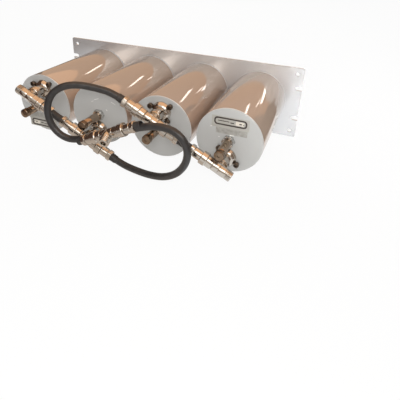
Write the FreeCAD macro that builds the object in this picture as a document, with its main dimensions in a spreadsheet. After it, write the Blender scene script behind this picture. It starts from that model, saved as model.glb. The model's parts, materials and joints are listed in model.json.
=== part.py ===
import FreeCAD, Part
import math
import os
import Sketcher

# Rack-mounted duplexer: four quarter-wave cavities on a panel, joined by coaxial tees and jumpers.
# Millimetres. Origin at the middle of the panel's rack-side face, +X along the panel, +Z up.
# The cavities stand out of that face towards -Y, with their tuning rods at the far end.

SIZES = {
    # rack panel
    "panel_margin": 25.5,
    "panel_height": 132.5,
    "panel_thickness": 3.2,
    "panel_corner": 3.0,
    "notch_inset": 8.75,
    "notch_spacing_up": 57.15,
    "notch_width": 7.1,
    "hole_inset_across": 11.3,
    "hole_inset_up": 11.65,
    "hole_dia": 7.0,
    # cavity shells
    "cavity_gap": 8.4,
    "cavity_length": 190.5,
    "tube_dia": 101.6,
    "tube_wall": 2.0,
    "plate_thickness": 4.8,
    "plate_lip": 1.6,
    "plate_chamfer": 0.5,
    "fixing_circle_dia": 70.0,
    "fixing_screw_dia": 5.0,
    "fixing_head_dia": 9.2,
    "fixing_head_height": 2.8,
    # resonator inside each cavity
    "resonator_dia": 28.6,
    "resonator_wall": 1.3,
    "resonator_length": 105.7,
    "finger_length": 12.0,
    "finger_reach": 6.0,
    "finger_gap": 1.2,
    "finger_root": 4.0,
    "plunger_dia": 24.0,
    "plunger_wall": 1.0,
    "plunger_cap": 3.0,
    "plunger_length": 76.0,
    "plunger_end_gap": 18.7,
    # tuning rod and its lock
    "rod_dia": 12.7,
    "rod_core_dia": 6.4,
    "rod_reach": 50.0,
    "rod_guide": 25.0,
    "knob_dia": 14.3,
    "knob_length": 9.0,
    "knob_chamfer": 0.8,
    "collet_dia": 15.2,
    "collet_height": 9.0,
    "collet_flange_dia": 19.0,
    "collet_flange": 1.5,
    "collet_slot_gap": 1.0,
    "collet_slot_depth": 8.0,
    "lock_nut_across": 17.5,
    "lock_nut_height": 7.0,
    "lock_nut_gap": 0.3,
    # coupling loop assembly on the front plate
    "loop_side": 2.0,
    "loop_rise": 27.2,
    "housing_spigot_dia": 21.8,
    "housing_flange_dia": 31.0,
    "housing_flange_height": 2.5,
    "dome_dia": 27.6,
    "dome_height": 8.5,
    "dome_round": 4.5,
    "clamp_circle_dia": 37.2,
    "clamp_screw_dia": 5.0,
    "clamp_head_dia": 8.5,
    "clamp_head_height": 5.0,
    "loop_drop": 28.0,
    "loop_span": 8.4,
    "strip_width": 6.0,
    "strip_thickness": 1.2,
    "strip_bend": 2.6,
    # coaxial interface
    "thread_dia": 15.8,
    "thread_length": 10.5,
    "relief_width": 1.2,
    "relief_dia": 14.2,
    "socket_dia": 8.4,
    "socket_depth": 9.2,
    "contact_dia": 3.0,
    "contact_recess": 4.6,
    "ferrule_dia": 8.2,
    "ferrule_bore": 6.9,
    "ferrule_length": 9.0,
    "pin_dia": 1.6,
    "pin_length": 4.4,
    "collar_dia": 15.4,
    "collar_length": 1.6,
    "neck_dia": 12.2,
    # tees
    "tee_body_dia": 16.2,
    "tee_arm": 21.0,
    "tee_bar_rise": 37.0,
    "housing_rim_rise": 18.5,
    # coupling nuts and cable plugs
    "nut_skirt_dia": 18.6,
    "nut_grip_dia": 20.6,
    "nut_front": 9.7,
    "nut_back": 9.0,
    "nut_grip_start": 0.5,
    "nut_chamfer": 0.6,
    "sleeve_start": 9.2,
    "sleeve_dia": 15.6,
    "plug_length": 28.5,
    "cable_clamp_length": 7.0,
    "cable_clamp_across": 16.4,
    "cable_dia": 10.8,
    "jumper_jacket_dia": 12.8,
    "boot_dia": 13.0,
    "boot_end_dia": 11.8,
    "boot_length": 10.0,
    # antenna tee, hung between the two long cables
    "antenna_side": 1.5,
    "antenna_reach": 253.0,
    "antenna_rise": 5.5,
    # clearance of parts that slide, turn or plug into each other
    "running_gap": 0.05,
}
CAVITY_COUNT = 4
CLAMP_ANGLES = (-53, 35, 157)
ANTENNA_TILT = 21.5
ANTENNA_DIP = 20.0
FINGER_CUTS = 4
COLLET_CUTS = 2

# Free cables, by hand: points between the straight exits at their two ends.
CABLE_3_POINTS = [
    (-33.0, -233.5, 64.5),
    (-57.0, -241.0, 67.5),
    (-77.0, -248.5, 63.5),
    (-92.0, -254.0, 52.0),
    (-100.0, -257.0, 35.0),
    (-101.5, -258.0, 15.5),
    (-94.5, -257.5, -3.0),
    (-80.0, -255.5, -16.0),
]
CABLE_2_POINTS = [
    (33.0, -233.5, -60.0),
    (62.0, -240.5, -57.5),
    (88.0, -247.0, -50.0),
    (110.0, -252.5, -35.0),
    (124.5, -256.5, -13.0),
    (127.5, -258.0, 9.0),
    (118.0, -258.0, 27.0),
    (101.0, -256.5, 34.5),
    (83.0, -254.5, 34.0),
]
CABLE_EXIT_RUN = 20.0
CABLE_ENTRY_RUN = 18.0

Vector = FreeCAD.Vector
doc = FreeCAD.newDocument("Duplexer")
sheet = doc.addObject("Spreadsheet::Sheet", "Sizes")
for row, (alias, number) in enumerate(SIZES.items(), start=1):
    sheet.set("A%d" % row, str(number))
    sheet.setAlias("A%d" % row, alias)
doc.recompute()


class Size:
    """A length, held as a number and as the expression that binds it to the sheet."""

    def __init__(self, value, text):
        self.value = float(value)
        self.text = text

    def __add__(self, other):
        other = as_size(other)
        return Size(self.value + other.value, "(%s + %s)" % (self.text, other.text))

    def __sub__(self, other):
        other = as_size(other)
        return Size(self.value - other.value, "(%s - %s)" % (self.text, other.text))

    def __mul__(self, other):
        other = as_size(other)
        return Size(self.value * other.value, "(%s * %s)" % (self.text, other.text))

    def __truediv__(self, other):
        other = as_size(other)
        return Size(self.value / other.value, "(%s / %s)" % (self.text, other.text))

    def __radd__(self, other):
        return as_size(other) + self

    def __rsub__(self, other):
        return as_size(other) - self

    def __neg__(self):
        return Size(-self.value, "(0 - %s)" % self.text)

    def root(self):
        return Size(math.sqrt(self.value), "sqrt(%s)" % self.text)


def as_size(value):
    return value if isinstance(value, Size) else Size(value, repr(float(value)))


def size(alias):
    return Size(sheet.get(alias), "Sizes." + alias)


def half(alias):
    return size(alias) / 2


# Sketches and the features made from them

def new_body(name):
    body = doc.addObject("PartDesign::Body", name)
    body.Label = name
    return body


def new_sketch(body, plane_role):
    sketch = body.newObject("Sketcher::SketchObject", body.Name + "_sketch")
    plane = [item for item in body.Origin.OriginFeatures if item.Role == plane_role][0]
    sketch.AttachmentSupport = [(plane, "")]
    sketch.MapMode = "FlatFace"
    return sketch


def pin_point(sketch, item, end, x, y):
    """Fix one point of a line or circle at x, y, with one named size each way."""
    for kind, axis, length in (("DistanceX", -2, x), ("DistanceY", -1, y)):
        if length.value == 0:
            sketch.addConstraint(Sketcher.Constraint("PointOnObject", item, end, axis))
            continue
        index = sketch.addConstraint(Sketcher.Constraint(kind, -1, 1, item, end, length.value))
        sketch.setExpression("Constraints[%d]" % index, length.text)


def add_polygon(sketch, points):
    points = [(as_size(x), as_size(y)) for x, y in points]
    first = sketch.GeometryCount
    corners = [Vector(x.value, y.value, 0) for x, y in points]
    lines = [Part.LineSegment(a, b) for a, b in zip(corners, corners[1:] + corners[:1])]
    sketch.addGeometry(lines, False)
    count = len(lines)
    for index in range(count):
        following = first + (index + 1) % count
        sketch.addConstraint(Sketcher.Constraint("Coincident", first + index, 2, following, 1))
    for index, (x, y) in enumerate(points):
        pin_point(sketch, first + index, 1, x, y)


def add_circle(sketch, x, y, radius):
    x, y, radius = as_size(x), as_size(y), as_size(radius)
    centre = Vector(x.value, y.value, 0)
    circle = sketch.addGeometry(Part.Circle(centre, Vector(0, 0, 1), radius.value))
    index = sketch.addConstraint(Sketcher.Constraint("Radius", circle, radius.value))
    sketch.setExpression("Constraints[%d]" % index, radius.text)
    pin_point(sketch, circle, 3, x, y)


def add_hexagon(sketch, across):
    side, corner = across / 2, across / math.sqrt(3)
    add_polygon(sketch, [(corner, 0), (corner / 2, side), (-corner / 2, side),
                         (-corner, 0), (-corner / 2, -side), (corner / 2, -side)])


def revolve(body, outline, axis="V_Axis"):
    """Turn an outline of (radius, place) pairs about the body's Y axis, or (place, radius) about X."""
    sketch = new_sketch(body, "XY_Plane")
    add_polygon(sketch, outline)
    feature = body.newObject("PartDesign::Revolution", body.Name + "_turned")
    feature.Profile = sketch
    feature.ReferenceAxis = (sketch, [axis])
    feature.Angle = 360
    sketch.Visibility = False
    return feature


def turned(name, outline):
    body = new_body(name)
    revolve(body, outline)
    return body


def pad_along_y(body, sketch, start, length):
    """Pad a sketch on the XZ plane from start towards +Y."""
    sketch.setExpression("AttachmentOffset.Base.z", (-as_size(start)).text)
    feature = body.newObject("PartDesign::Pad", body.Name + "_pad")
    feature.Profile = sketch
    feature.Length = as_size(length).value
    feature.setExpression("Length", as_size(length).text)
    feature.Reversed = True
    return feature


def drill(body, circles):
    """Cut holes, given as (x, z, radius), right through a body along Y."""
    sketch = new_sketch(body, "XZ_Plane")
    for x, z, radius in circles:
        add_circle(sketch, x, z, radius)
    cut_through(body, sketch)


def cut_through(body, sketch):
    feature = body.newObject("PartDesign::Pocket", body.Name + "_cut")
    feature.Profile = sketch
    feature.Type = "ThroughAll"
    feature.Midplane = True
    return feature


def fillet(body, radius, wanted):
    """Round the edges of the body's last feature that pass the test wanted(edge)."""
    doc.recompute()
    base = body.Tip
    names = ["Edge%d" % (n + 1) for n, edge in enumerate(base.Shape.Edges) if wanted(edge)]
    feature = body.newObject("PartDesign::Fillet", body.Name + "_round")
    feature.Base = (base, names)
    feature.Radius = radius.value
    feature.setExpression("Radius", radius.text)
    return feature


def place(item, x, y, z, rotation=None):
    """Set a sub-part down at sizes x, y, z, bound to the sheet."""
    rotation = rotation or FreeCAD.Rotation()
    spots = [as_size(x), as_size(y), as_size(z)]
    item.Placement = FreeCAD.Placement(Vector(*[spot.value for spot in spots]), rotation)
    for axis, spot in zip("xyz", spots):
        item.setExpression("Placement.Base." + axis, spot.text)


def group(name, seed, placements):
    """One sub-part of several like solids, each a placed copy of the seed's shape."""
    doc.recompute()
    copies = []
    for placement in placements:
        copy = seed.Shape.copy()
        copy.Placement = placement.multiply(copy.Placement)
        copies.append(copy)
    item = doc.addObject("Part::Feature", name)
    item.Label = name
    item.Shape = Part.makeCompound(copies)
    return item


nodes = []
front = -size("cavity_length")
plate_inside = front + size("plate_thickness")
gap = size("running_gap")


# Places of the cavities and of the connectors on them

cavity_pitch = size("tube_dia") + size("cavity_gap")


def cavity_x(number):
    return cavity_pitch * (number - (CAVITY_COUNT + 1) / 2)


def cavity_turn(number):
    """Every second cavity is turned half round, so its loop is at the bottom."""
    return 0 if number % 2 else 180


def cavity_sign(number):
    return 1 if number % 2 else -1


def cavity_placement(number):
    turn = FreeCAD.Rotation(Vector(0, 1, 0), cavity_turn(number))
    return FreeCAD.Placement(Vector(cavity_x(number).value, 0, 0), turn)


def stem_point(number, rise):
    """Point on a coupling loop's axis, rise in front of the front plate."""
    sign = cavity_sign(number)
    return Vector(cavity_x(number).value + sign * size("loop_side").value,
                  front.value - rise.value, sign * size("loop_rise").value)


stem_gap_x = cavity_pitch - size("loop_side") * 2
stem_gap_z = size("loop_rise") * 2
bar_slope = math.degrees(math.atan2(stem_gap_z.value, stem_gap_x.value))
bar_turn = FreeCAD.Rotation(Vector(0, 1, 0), bar_slope)
bar_direction = bar_turn.multVec(Vector(1, 0, 0))

antenna_point = Vector(size("antenna_side").value, -size("antenna_reach").value, size("antenna_rise").value)
antenna_turn = FreeCAD.Rotation(Vector(0, 1, 0), -ANTENNA_TILT).multiply(
    FreeCAD.Rotation(Vector(1, 0, 0), 180 + ANTENNA_DIP))
antenna_direction = antenna_turn.multVec(Vector(1, 0, 0))


# Rack panel: its margin beside the outer cavities makes it 482.6 across, a standard rack's width.
# Notches are 465.1 apart across, and the round holes 460 by 109.2.

panel_side = cavity_x(CAVITY_COUNT) + half("tube_dia") + size("panel_margin")
panel_top = half("panel_height")
notch_side = panel_side - size("notch_inset")


def build_panel():
    body = new_body("rack_panel")
    side, top = panel_side, panel_top
    outline = new_sketch(body, "XZ_Plane")
    add_polygon(outline, [(-side, -top), (side, -top), (side, top), (-side, top)])
    pad_along_y(body, outline, 0, size("panel_thickness"))
    fillet(body, size("panel_corner"), is_panel_corner)
    drill(body, panel_circles())
    notches = new_sketch(body, "XZ_Plane")
    width, beyond = half("notch_width"), side + size("notch_width")
    for x_sign in (-1, 1):
        for z_sign in (-1, 1):
            inner = notch_side * x_sign
            middle = half("notch_spacing_up") * z_sign
            outer = beyond * x_sign
            add_polygon(notches, [(inner, middle - width), (outer, middle - width),
                                  (outer, middle + width), (inner, middle + width)])
    cut_through(body, notches)
    nodes.append(body)


def is_panel_corner(edge):
    return (abs(abs(edge.CenterOfMass.x) - panel_side.value) < 0.01
            and abs(abs(edge.CenterOfMass.z) - panel_top.value) < 0.01)


def panel_circles():
    circles = []
    for x_sign in (-1, 1):
        for z_sign in (-1, 1):
            circles.append(((panel_side - size("hole_inset_across")) * x_sign,
                            (panel_top - size("hole_inset_up")) * z_sign, half("hole_dia")))
            circles.append((notch_side * x_sign, half("notch_spacing_up") * z_sign,
                            half("notch_width")))
    for number in range(1, CAVITY_COUNT + 1):
        for x, z in fixing_places():
            circles.append((cavity_x(number) + x, z, half("fixing_screw_dia") + gap))
    return circles


def fixing_places():
    reach = half("fixing_circle_dia") * math.sqrt(0.5)
    return [(reach * a, reach * b) for a in (-1, 1) for b in (-1, 1)]


# One cavity: shell, resonator and tuning parts

def build_shell(number):
    radius, bore = half("tube_dia"), half("tube_dia") - size("tube_wall")
    lip, thick, chamfer = size("plate_lip"), size("plate_thickness"), size("plate_chamfer")
    spigot = bore - gap
    collet_seat = half("collet_dia") + gap

    tube = turned("cavity_%d_tube" % number,
                  [(bore, front + lip), (radius, front + lip), (radius, -lip), (bore, -lip)])

    front_plate = turned("cavity_%d_front_plate" % number, [
        (collet_seat, front), (radius - chamfer, front), (radius, front + chamfer),
        (radius, front + lip), (spigot, front + lip), (spigot, plate_inside),
        (collet_seat, plate_inside)])
    holes = [(size("loop_side"), size("loop_rise"), half("housing_spigot_dia") + gap)]
    for x, z in clamp_places():
        holes.append((size("loop_side") + x, size("loop_rise") + z, half("clamp_screw_dia") + gap))
    drill(front_plate, holes)

    rear_plate = turned("cavity_%d_rear_plate" % number, [
        (0, 0), (radius, 0), (radius, -lip), (spigot, -lip), (spigot, -thick), (0, -thick)])
    drill(rear_plate, [(x, z, half("fixing_screw_dia") + gap) for x, z in fixing_places()])
    return [tube, front_plate, rear_plate]


def clamp_places():
    reach = half("clamp_circle_dia")
    turns = [math.radians(angle) for angle in CLAMP_ANGLES]
    return [(reach * math.cos(a), reach * math.sin(a)) for a in turns]


def build_resonator(number):
    outer = half("resonator_dia")
    end = plate_inside + size("resonator_length")
    inner = outer - size("resonator_wall")
    return turned("cavity_%d_resonator" % number,
                  [(inner, plate_inside), (outer, plate_inside), (outer, end), (inner, end)])


def build_tuner(number):
    cap_end = -size("plate_thickness") - size("plunger_end_gap")
    open_end = cap_end - size("plunger_length")
    cap_inside = cap_end - size("plunger_cap")
    outer = half("plunger_dia")
    inner = outer - size("plunger_wall")
    core = half("rod_core_dia")
    plunger = turned("cavity_%d_plunger" % number, [
        (inner, open_end), (outer, open_end), (outer, cap_end), (core + gap, cap_end),
        (core + gap, cap_inside), (inner, cap_inside)])

    knob_face = front - size("rod_reach")
    knob_back = knob_face + size("knob_length")
    shoulder = front + size("rod_guide")
    knob, shaft, chamfer = half("knob_dia"), half("rod_dia"), size("knob_chamfer")
    rod = turned("cavity_%d_tuning_rod" % number, [
        (0, knob_face), (knob - chamfer, knob_face), (knob, knob_face + chamfer), (knob, knob_back),
        (shaft, knob_back), (shaft, shoulder), (core, shoulder), (core, cap_end), (0, cap_end)])
    return [plunger, rod]


def build_lock_nut(number):
    body = new_body("cavity_%d_lock_nut" % number)
    sketch = new_sketch(body, "XZ_Plane")
    add_hexagon(sketch, size("lock_nut_across"))
    add_circle(sketch, 0, 0, half("collet_dia") + gap)
    height, seat = size("lock_nut_height"), size("lock_nut_gap")
    pad_along_y(body, sketch, front - seat - height, height)
    return body


# Coupling loop assembly

def build_loop_housing(number):
    spigot, flange = half("housing_spigot_dia"), half("housing_flange_dia")
    dome, thread = half("dome_dia"), half("thread_dia")
    socket, contact = half("socket_dia"), half("contact_dia")
    flange_face, dome_face = -size("housing_flange_height"), -size("dome_height")
    rim, inside = -size("housing_rim_rise"), size("plate_thickness")
    floor, tip = rim + size("socket_depth"), rim + size("contact_recess")
    body = turned("cavity_%d_loop_housing" % number, [
        (0, inside), (spigot, inside), (spigot, 0), (flange, 0), (flange, flange_face),
        (dome, flange_face), (dome, dome_face), (thread, dome_face), (thread, rim), (socket, rim),
        (socket, floor), (contact, floor), (contact, tip), (0, tip)])
    fillet(body, size("dome_round"), is_dome_edge)
    sign = cavity_sign(number)
    place(body, cavity_x(number) + size("loop_side") * sign, front, size("loop_rise") * sign,
          FreeCAD.Rotation(Vector(0, 1, 0), cavity_turn(number)))
    return body


def is_dome_edge(edge):
    return (hasattr(edge.Curve, "Radius") and abs(edge.Curve.Radius - half("dome_dia").value) < 0.01
            and abs(edge.CenterOfMass.y + size("dome_height").value) < 0.01)


def build_coupling_loop(number):
    """A strip bent to a U, one leg on the housing's contact and one on its rim."""
    body = new_body("cavity_%d_coupling_loop" % number)
    edge, drop = half("strip_thickness"), size("loop_drop")
    far, under = size("loop_span"), drop - size("strip_thickness")
    sketch = new_sketch(body, "XY_Plane")
    add_polygon(sketch, [(-edge, 0), (edge, 0), (edge, under), (far - edge, under),
                         (far - edge, 0), (far + edge, 0), (far + edge, drop), (-edge, drop)])
    strip = body.newObject("PartDesign::Pad", body.Name + "_strip")
    strip.Profile = sketch
    strip.Midplane = True
    strip.Length = size("strip_width").value
    strip.setExpression("Length", size("strip_width").text)
    fillet(body, size("strip_bend"), is_strip_bend)
    sign = cavity_sign(number)
    inward = Vector(-size("loop_side").value * sign, 0, -size("loop_rise").value * sign)
    place(body, cavity_x(number) + size("loop_side") * sign, plate_inside, size("loop_rise") * sign,
          FreeCAD.Rotation(Vector(0, 1, 0), math.degrees(math.atan2(-inward.z, inward.x))))
    return body


def is_strip_bend(edge):
    across = abs(edge.BoundBox.ZLength - size("strip_width").value) < 0.01
    return across and abs(edge.CenterOfMass.y - size("loop_drop").value) < 0.01


# Coaxial tees, plugs and nuts. Each end's rim is its zero, and the plug lies outward of it.

def female_arm(reach):
    """Half of a bar with a threaded socket at its end, as (place, radius) from the middle out."""
    thread_start = reach - size("thread_length")
    relief_start = thread_start - size("relief_width")
    body, relief, thread = half("tee_body_dia"), half("relief_dia"), half("thread_dia")
    socket, contact = half("socket_dia"), half("contact_dia")
    floor, tip = reach - size("socket_depth"), reach - size("contact_recess")
    return [(relief_start, body), (relief_start, relief), (thread_start, relief),
            (thread_start, thread), (reach, thread), (reach, socket), (floor, socket),
            (floor, contact), (tip, contact), (tip, as_size(0))]


def male_outline(rim, direction):
    """A plug's contact, ferrule and collar, as (radius, place), from its pin to the collar's back."""
    pin, bore, ferrule = half("pin_dia"), half("ferrule_bore"), half("ferrule_dia")
    collar = half("collar_dia")
    pin_tip = rim - size("pin_length") * direction
    ferrule_tip = rim - size("ferrule_length") * direction
    back = rim + size("collar_length") * direction
    return [(as_size(0), pin_tip), (pin, pin_tip), (pin, rim), (bore, rim), (bore, ferrule_tip),
            (ferrule, ferrule_tip), (ferrule, rim), (collar, rim), (collar, back),
            (half("neck_dia"), back)]


def build_tee_bar(name):
    body = new_body(name)
    arm = female_arm(size("tee_arm"))
    revolve(body, arm + [(-place_x, radius) for place_x, radius in reversed(arm)], "H_Axis")
    return body


def build_cavity_tee(number):
    body = build_tee_bar("cavity_%d_tee" % number)
    stem = size("tee_bar_rise") - size("housing_rim_rise")
    outline = male_outline(stem, -1)
    revolve(body, outline + [(half("neck_dia"), as_size(0)), (as_size(0), as_size(0))])
    sign = cavity_sign(number)
    place(body, cavity_x(number) + size("loop_side") * sign, front - size("tee_bar_rise"),
          size("loop_rise") * sign, bar_turn)
    return body


def build_antenna_tee():
    body = build_tee_bar("antenna_tee")
    arm = female_arm(size("tee_arm"))
    outline = [(radius, reach) for reach, radius in arm]
    revolve(body, outline + [(as_size(0), as_size(0)), (half("tee_body_dia"), as_size(0))])
    place(body, size("antenna_side"), -size("antenna_reach"), size("antenna_rise"), antenna_turn)
    return body


def build_plug(name, rim, direction):
    sleeve, clamp_start = half("sleeve_dia"), size("plug_length") - size("cable_clamp_length")
    start = size("sleeve_start")
    outline = male_outline(as_size(0), 1)
    body = turned(name, outline + [(half("neck_dia"), start), (sleeve, start),
                                   (sleeve, clamp_start), (as_size(0), clamp_start)])
    clamp = new_sketch(body, "XZ_Plane")
    add_hexagon(clamp, size("cable_clamp_across"))
    pad_along_y(body, clamp, clamp_start, size("cable_clamp_length"))
    body.Placement = axis_placement(rim, direction)
    return body


def axis_placement(point, direction):
    """A frame at point whose Y axis lies along direction."""
    return FreeCAD.Placement(point, FreeCAD.Rotation(Vector(0, 1, 0), direction))


def coupling_nut_seed():
    thread, neck = half("thread_dia") + gap, half("neck_dia") + gap
    skirt, grip, chamfer = half("nut_skirt_dia"), half("nut_grip_dia"), size("nut_chamfer")
    wall, ledge = size("collar_length") + gap, -size("nut_grip_start")
    back, mouth = size("nut_back"), -size("nut_front")
    return turned("coupling_nut_seed", [
        (thread, mouth), (skirt, mouth), (skirt, ledge), (grip, ledge), (grip, back - chamfer),
        (grip - chamfer, back), (neck, back), (neck, wall), (thread, wall)])


def stem_rim(number):
    return stem_point(number, size("housing_rim_rise"))


def bar_rim(number, side):
    middle = stem_point(number, size("tee_bar_rise"))
    return middle + bar_direction * (side * size("tee_arm").value)


def antenna_rim(side):
    return antenna_point + antenna_direction * (side * size("tee_arm").value)


# Cables

def rounded_path(name, points):
    """Straight runs joined by tangent arcs, each as large as its two runs allow."""
    edges, start = [], points[0]
    radii = []
    for before, corner, after in zip(points, points[1:], points[2:]):
        into, out = (corner - before), (after - corner)
        run = min(into.Length, out.Length)
        into.normalize()
        out.normalize()
        turn = into.getAngle(out)
        setback = 0.45 * run
        radius = setback / math.tan(turn / 2)
        arc_start, arc_end = corner - into * setback, corner + out * setback
        inward = (out - into).normalize()
        middle = corner + inward * (radius / math.cos(turn / 2) - radius)
        edges.append(Part.LineSegment(start, arc_start).toShape())
        edges.append(Part.Arc(arc_start, middle, arc_end).toShape())
        start = arc_end
        radii.append(radius)
    edges.append(Part.LineSegment(start, points[-1]).toShape())
    wire = Part.Wire(edges)
    print(name, "length %.1f mm, arc radii" % wire.Length, ["%.0f" % radius for radius in radii])
    return wire


def build_cable(name, points):
    radius = half("cable_dia").value
    path = rounded_path(name, points)
    profile = Part.Wire(Part.makeCircle(radius, points[0], points[1] - points[0]))
    shape = path.makePipeShell([profile], True, True)
    expected = math.pi * radius ** 2 * path.Length
    print(name, "volume over section x length: %.4f" % (shape.Volume / expected))
    item = doc.addObject("Part::Feature", name)
    item.Label = name
    item.Shape = shape
    return item


def build_short_jumper(name, number):
    """A jacketed cable straight between the facing plugs of two neighbouring cavities."""
    item = doc.addObject("Part::Cylinder", name)
    item.Label = name
    apart = (stem_gap_x * stem_gap_x + stem_gap_z * stem_gap_z).root()
    length = apart - size("tee_arm") * 2 - size("plug_length") * 2
    item.setExpression("Height", length.text)
    item.setExpression("Radius", half("jumper_jacket_dia").text)
    start = bar_rim(number, 1) + bar_direction * size("plug_length").value
    item.Placement = FreeCAD.Placement(start, FreeCAD.Rotation(Vector(0, 0, 1), bar_direction))
    return item


def boot_seed():
    bore, root, end = half("cable_dia") + gap, half("boot_dia"), half("boot_end_dia")
    length = size("boot_length")
    return turned("cable_boot_seed", [(bore, 0), (root, 0), (end, length), (bore, length)])


# Fasteners

def clamp_screw_seed():
    head, shank = half("clamp_head_dia"), half("clamp_screw_dia")
    seat = -size("housing_flange_height")
    top = seat - size("clamp_head_height")
    return turned("clamp_screw_seed", [
        (0, top), (head, top), (head, seat), (shank, seat), (shank, size("plate_thickness")),
        (0, size("plate_thickness"))])


def fixing_screw_seed():
    head, shank = half("fixing_head_dia"), half("fixing_screw_dia")
    seat, end = size("panel_thickness"), -size("plate_thickness")
    top = seat + size("fixing_head_height")
    return turned("fixing_screw_seed", [
        (0, end), (shank, end), (shank, seat), (head, seat), (head, top), (0, top)])


def finger_seed():
    """Contact fingers in the resonator's mouth, slotted so that they spring on the plunger."""
    mouth = plate_inside + size("resonator_length")
    start = mouth - size("finger_reach")
    end = start + size("finger_length")
    inner = half("plunger_dia") + gap
    outer = half("resonator_dia") - size("resonator_wall") - gap
    body = turned("finger_seed", [(inner, start), (outer, start), (outer, end), (inner, end)])
    root = size("finger_root")
    return slit(body, half("finger_gap"), start + root, end + root, FINGER_CUTS)


def collet_seed():
    """The rod's guide in the front plate: flanged inside, and slit in front so that its nut clamps."""
    bore, outer, flange = half("rod_dia") + gap, half("collet_dia"), half("collet_flange_dia")
    start, back = front - size("collet_height"), plate_inside + size("collet_flange")
    body = turned("collet_seed", [(bore, start), (outer, start), (outer, plate_inside),
                                  (flange, plate_inside), (flange, back), (bore, back)])
    depth = size("collet_slot_depth")
    return slit(body, half("collet_slot_gap"), start - depth, start + depth, COLLET_CUTS)


def slit(body, side, start, end, cuts):
    """Cut right across a turned ring between two places along it, in evenly spread directions."""
    slot = new_sketch(body, "XY_Plane")
    add_polygon(slot, [(-side, start), (side, start), (side, end), (-side, end)])
    cut = cut_through(body, slot)
    axis = [item for item in body.Origin.OriginFeatures if item.Role == "Y_Axis"][0]
    pattern = body.newObject("PartDesign::PolarPattern", body.Name + "_slots")
    pattern.Originals = [cut]
    pattern.Axis = (axis, [""])
    pattern.Angle = 180 * (cuts - 1) / cuts
    pattern.Occurrences = cuts
    body.Tip = pattern
    return body


# Assembly

cavities = range(1, CAVITY_COUNT + 1)
build_panel()
for number in cavities:
    pieces = build_shell(number) + [build_resonator(number)] + build_tuner(number)
    pieces.append(build_lock_nut(number))
    for piece in pieces:
        place(piece, cavity_x(number), 0, 0, FreeCAD.Rotation(Vector(0, 1, 0), cavity_turn(number)))
    pieces += [build_loop_housing(number), build_coupling_loop(number), build_cavity_tee(number)]
    nodes.extend(pieces)
nodes.append(build_antenna_tee())

PLUGS = {
    "plug_1_to_2": (bar_rim(1, 1), bar_direction),
    "plug_2_to_1": (bar_rim(2, -1), -bar_direction),
    "plug_3_to_4": (bar_rim(3, 1), bar_direction),
    "plug_4_to_3": (bar_rim(4, -1), -bar_direction),
    "plug_3_to_antenna": (bar_rim(3, -1), -bar_direction),
    "plug_antenna_to_3": (antenna_rim(-1), -antenna_direction),
    "plug_2_to_antenna": (bar_rim(2, 1), bar_direction),
    "plug_antenna_to_2": (antenna_rim(1), antenna_direction),
}
for name, (rim, direction) in PLUGS.items():
    nodes.append(build_plug(name, rim, direction))

nut_places = [axis_placement(rim, direction) for rim, direction in PLUGS.values()]
nut_places += [axis_placement(stem_rim(number), Vector(0, -1, 0)) for number in cavities]
nodes.append(group("coupling_nuts", coupling_nut_seed(), nut_places))

nodes.append(build_short_jumper("cable_1_2", 1))
nodes.append(build_short_jumper("cable_3_4", 3))


def cable_exit(plug):
    """Where a cable leaves its plug, and which way."""
    rim, direction = PLUGS[plug]
    return rim + direction * size("plug_length").value, direction


boot_places = []
for name, leaving, arriving, middle in (
        ("cable_3_antenna", "plug_3_to_antenna", "plug_antenna_to_3", CABLE_3_POINTS),
        ("cable_2_antenna", "plug_2_to_antenna", "plug_antenna_to_2", CABLE_2_POINTS)):
    first, out = cable_exit(leaving)
    last, back = cable_exit(arriving)
    route = [first, first + out * CABLE_EXIT_RUN]
    route += [Vector(*point) for point in middle]
    route += [last + back * CABLE_ENTRY_RUN, last]
    print(name, "route", [tuple(round(value, 2) for value in point) for point in route])
    nodes.append(build_cable(name, route))
    boot_places += [axis_placement(first, out), axis_placement(last, back)]
nodes.append(group("cable_boots", boot_seed(), boot_places))

screw_places = []
for number in cavities:
    for x, z in clamp_places():
        spot = Vector(size("loop_side").value + x.value, front.value, size("loop_rise").value + z.value)
        screw_places.append(cavity_placement(number).multiply(FreeCAD.Placement(spot, FreeCAD.Rotation())))
nodes.append(group("loop_clamp_screws", clamp_screw_seed(), screw_places))

screw_places = []
for number in cavities:
    for x, z in fixing_places():
        spot = Vector(cavity_x(number).value + x.value, 0, z.value)
        screw_places.append(FreeCAD.Placement(spot, FreeCAD.Rotation()))
nodes.append(group("panel_screws", fixing_screw_seed(), screw_places))

cavity_places = [cavity_placement(number) for number in cavities]
nodes.append(group("contact_fingers", finger_seed(), cavity_places))
nodes.append(group("rod_collets", collet_seed(), cavity_places))


# Checks and export

doc.recompute()
for item in doc.Objects:
    if "Invalid" in item.State or "Error" in item.State:
        raise RuntimeError("%s: %s" % (item.Name, item.State))
for item in nodes:
    if item.Shape.isNull() or not item.Shape.isValid() or not item.Shape.Solids:
        raise RuntimeError("%s has no valid solid" % item.Label)

os.makedirs("parts", exist_ok=True)
for item in nodes:
    item.Shape.exportStep(os.path.join("parts", item.Label + ".step"))
print("nodes:", len(nodes))
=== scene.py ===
import json
import math

import bmesh
import bpy
from mathutils import Matrix, Vector


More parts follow.
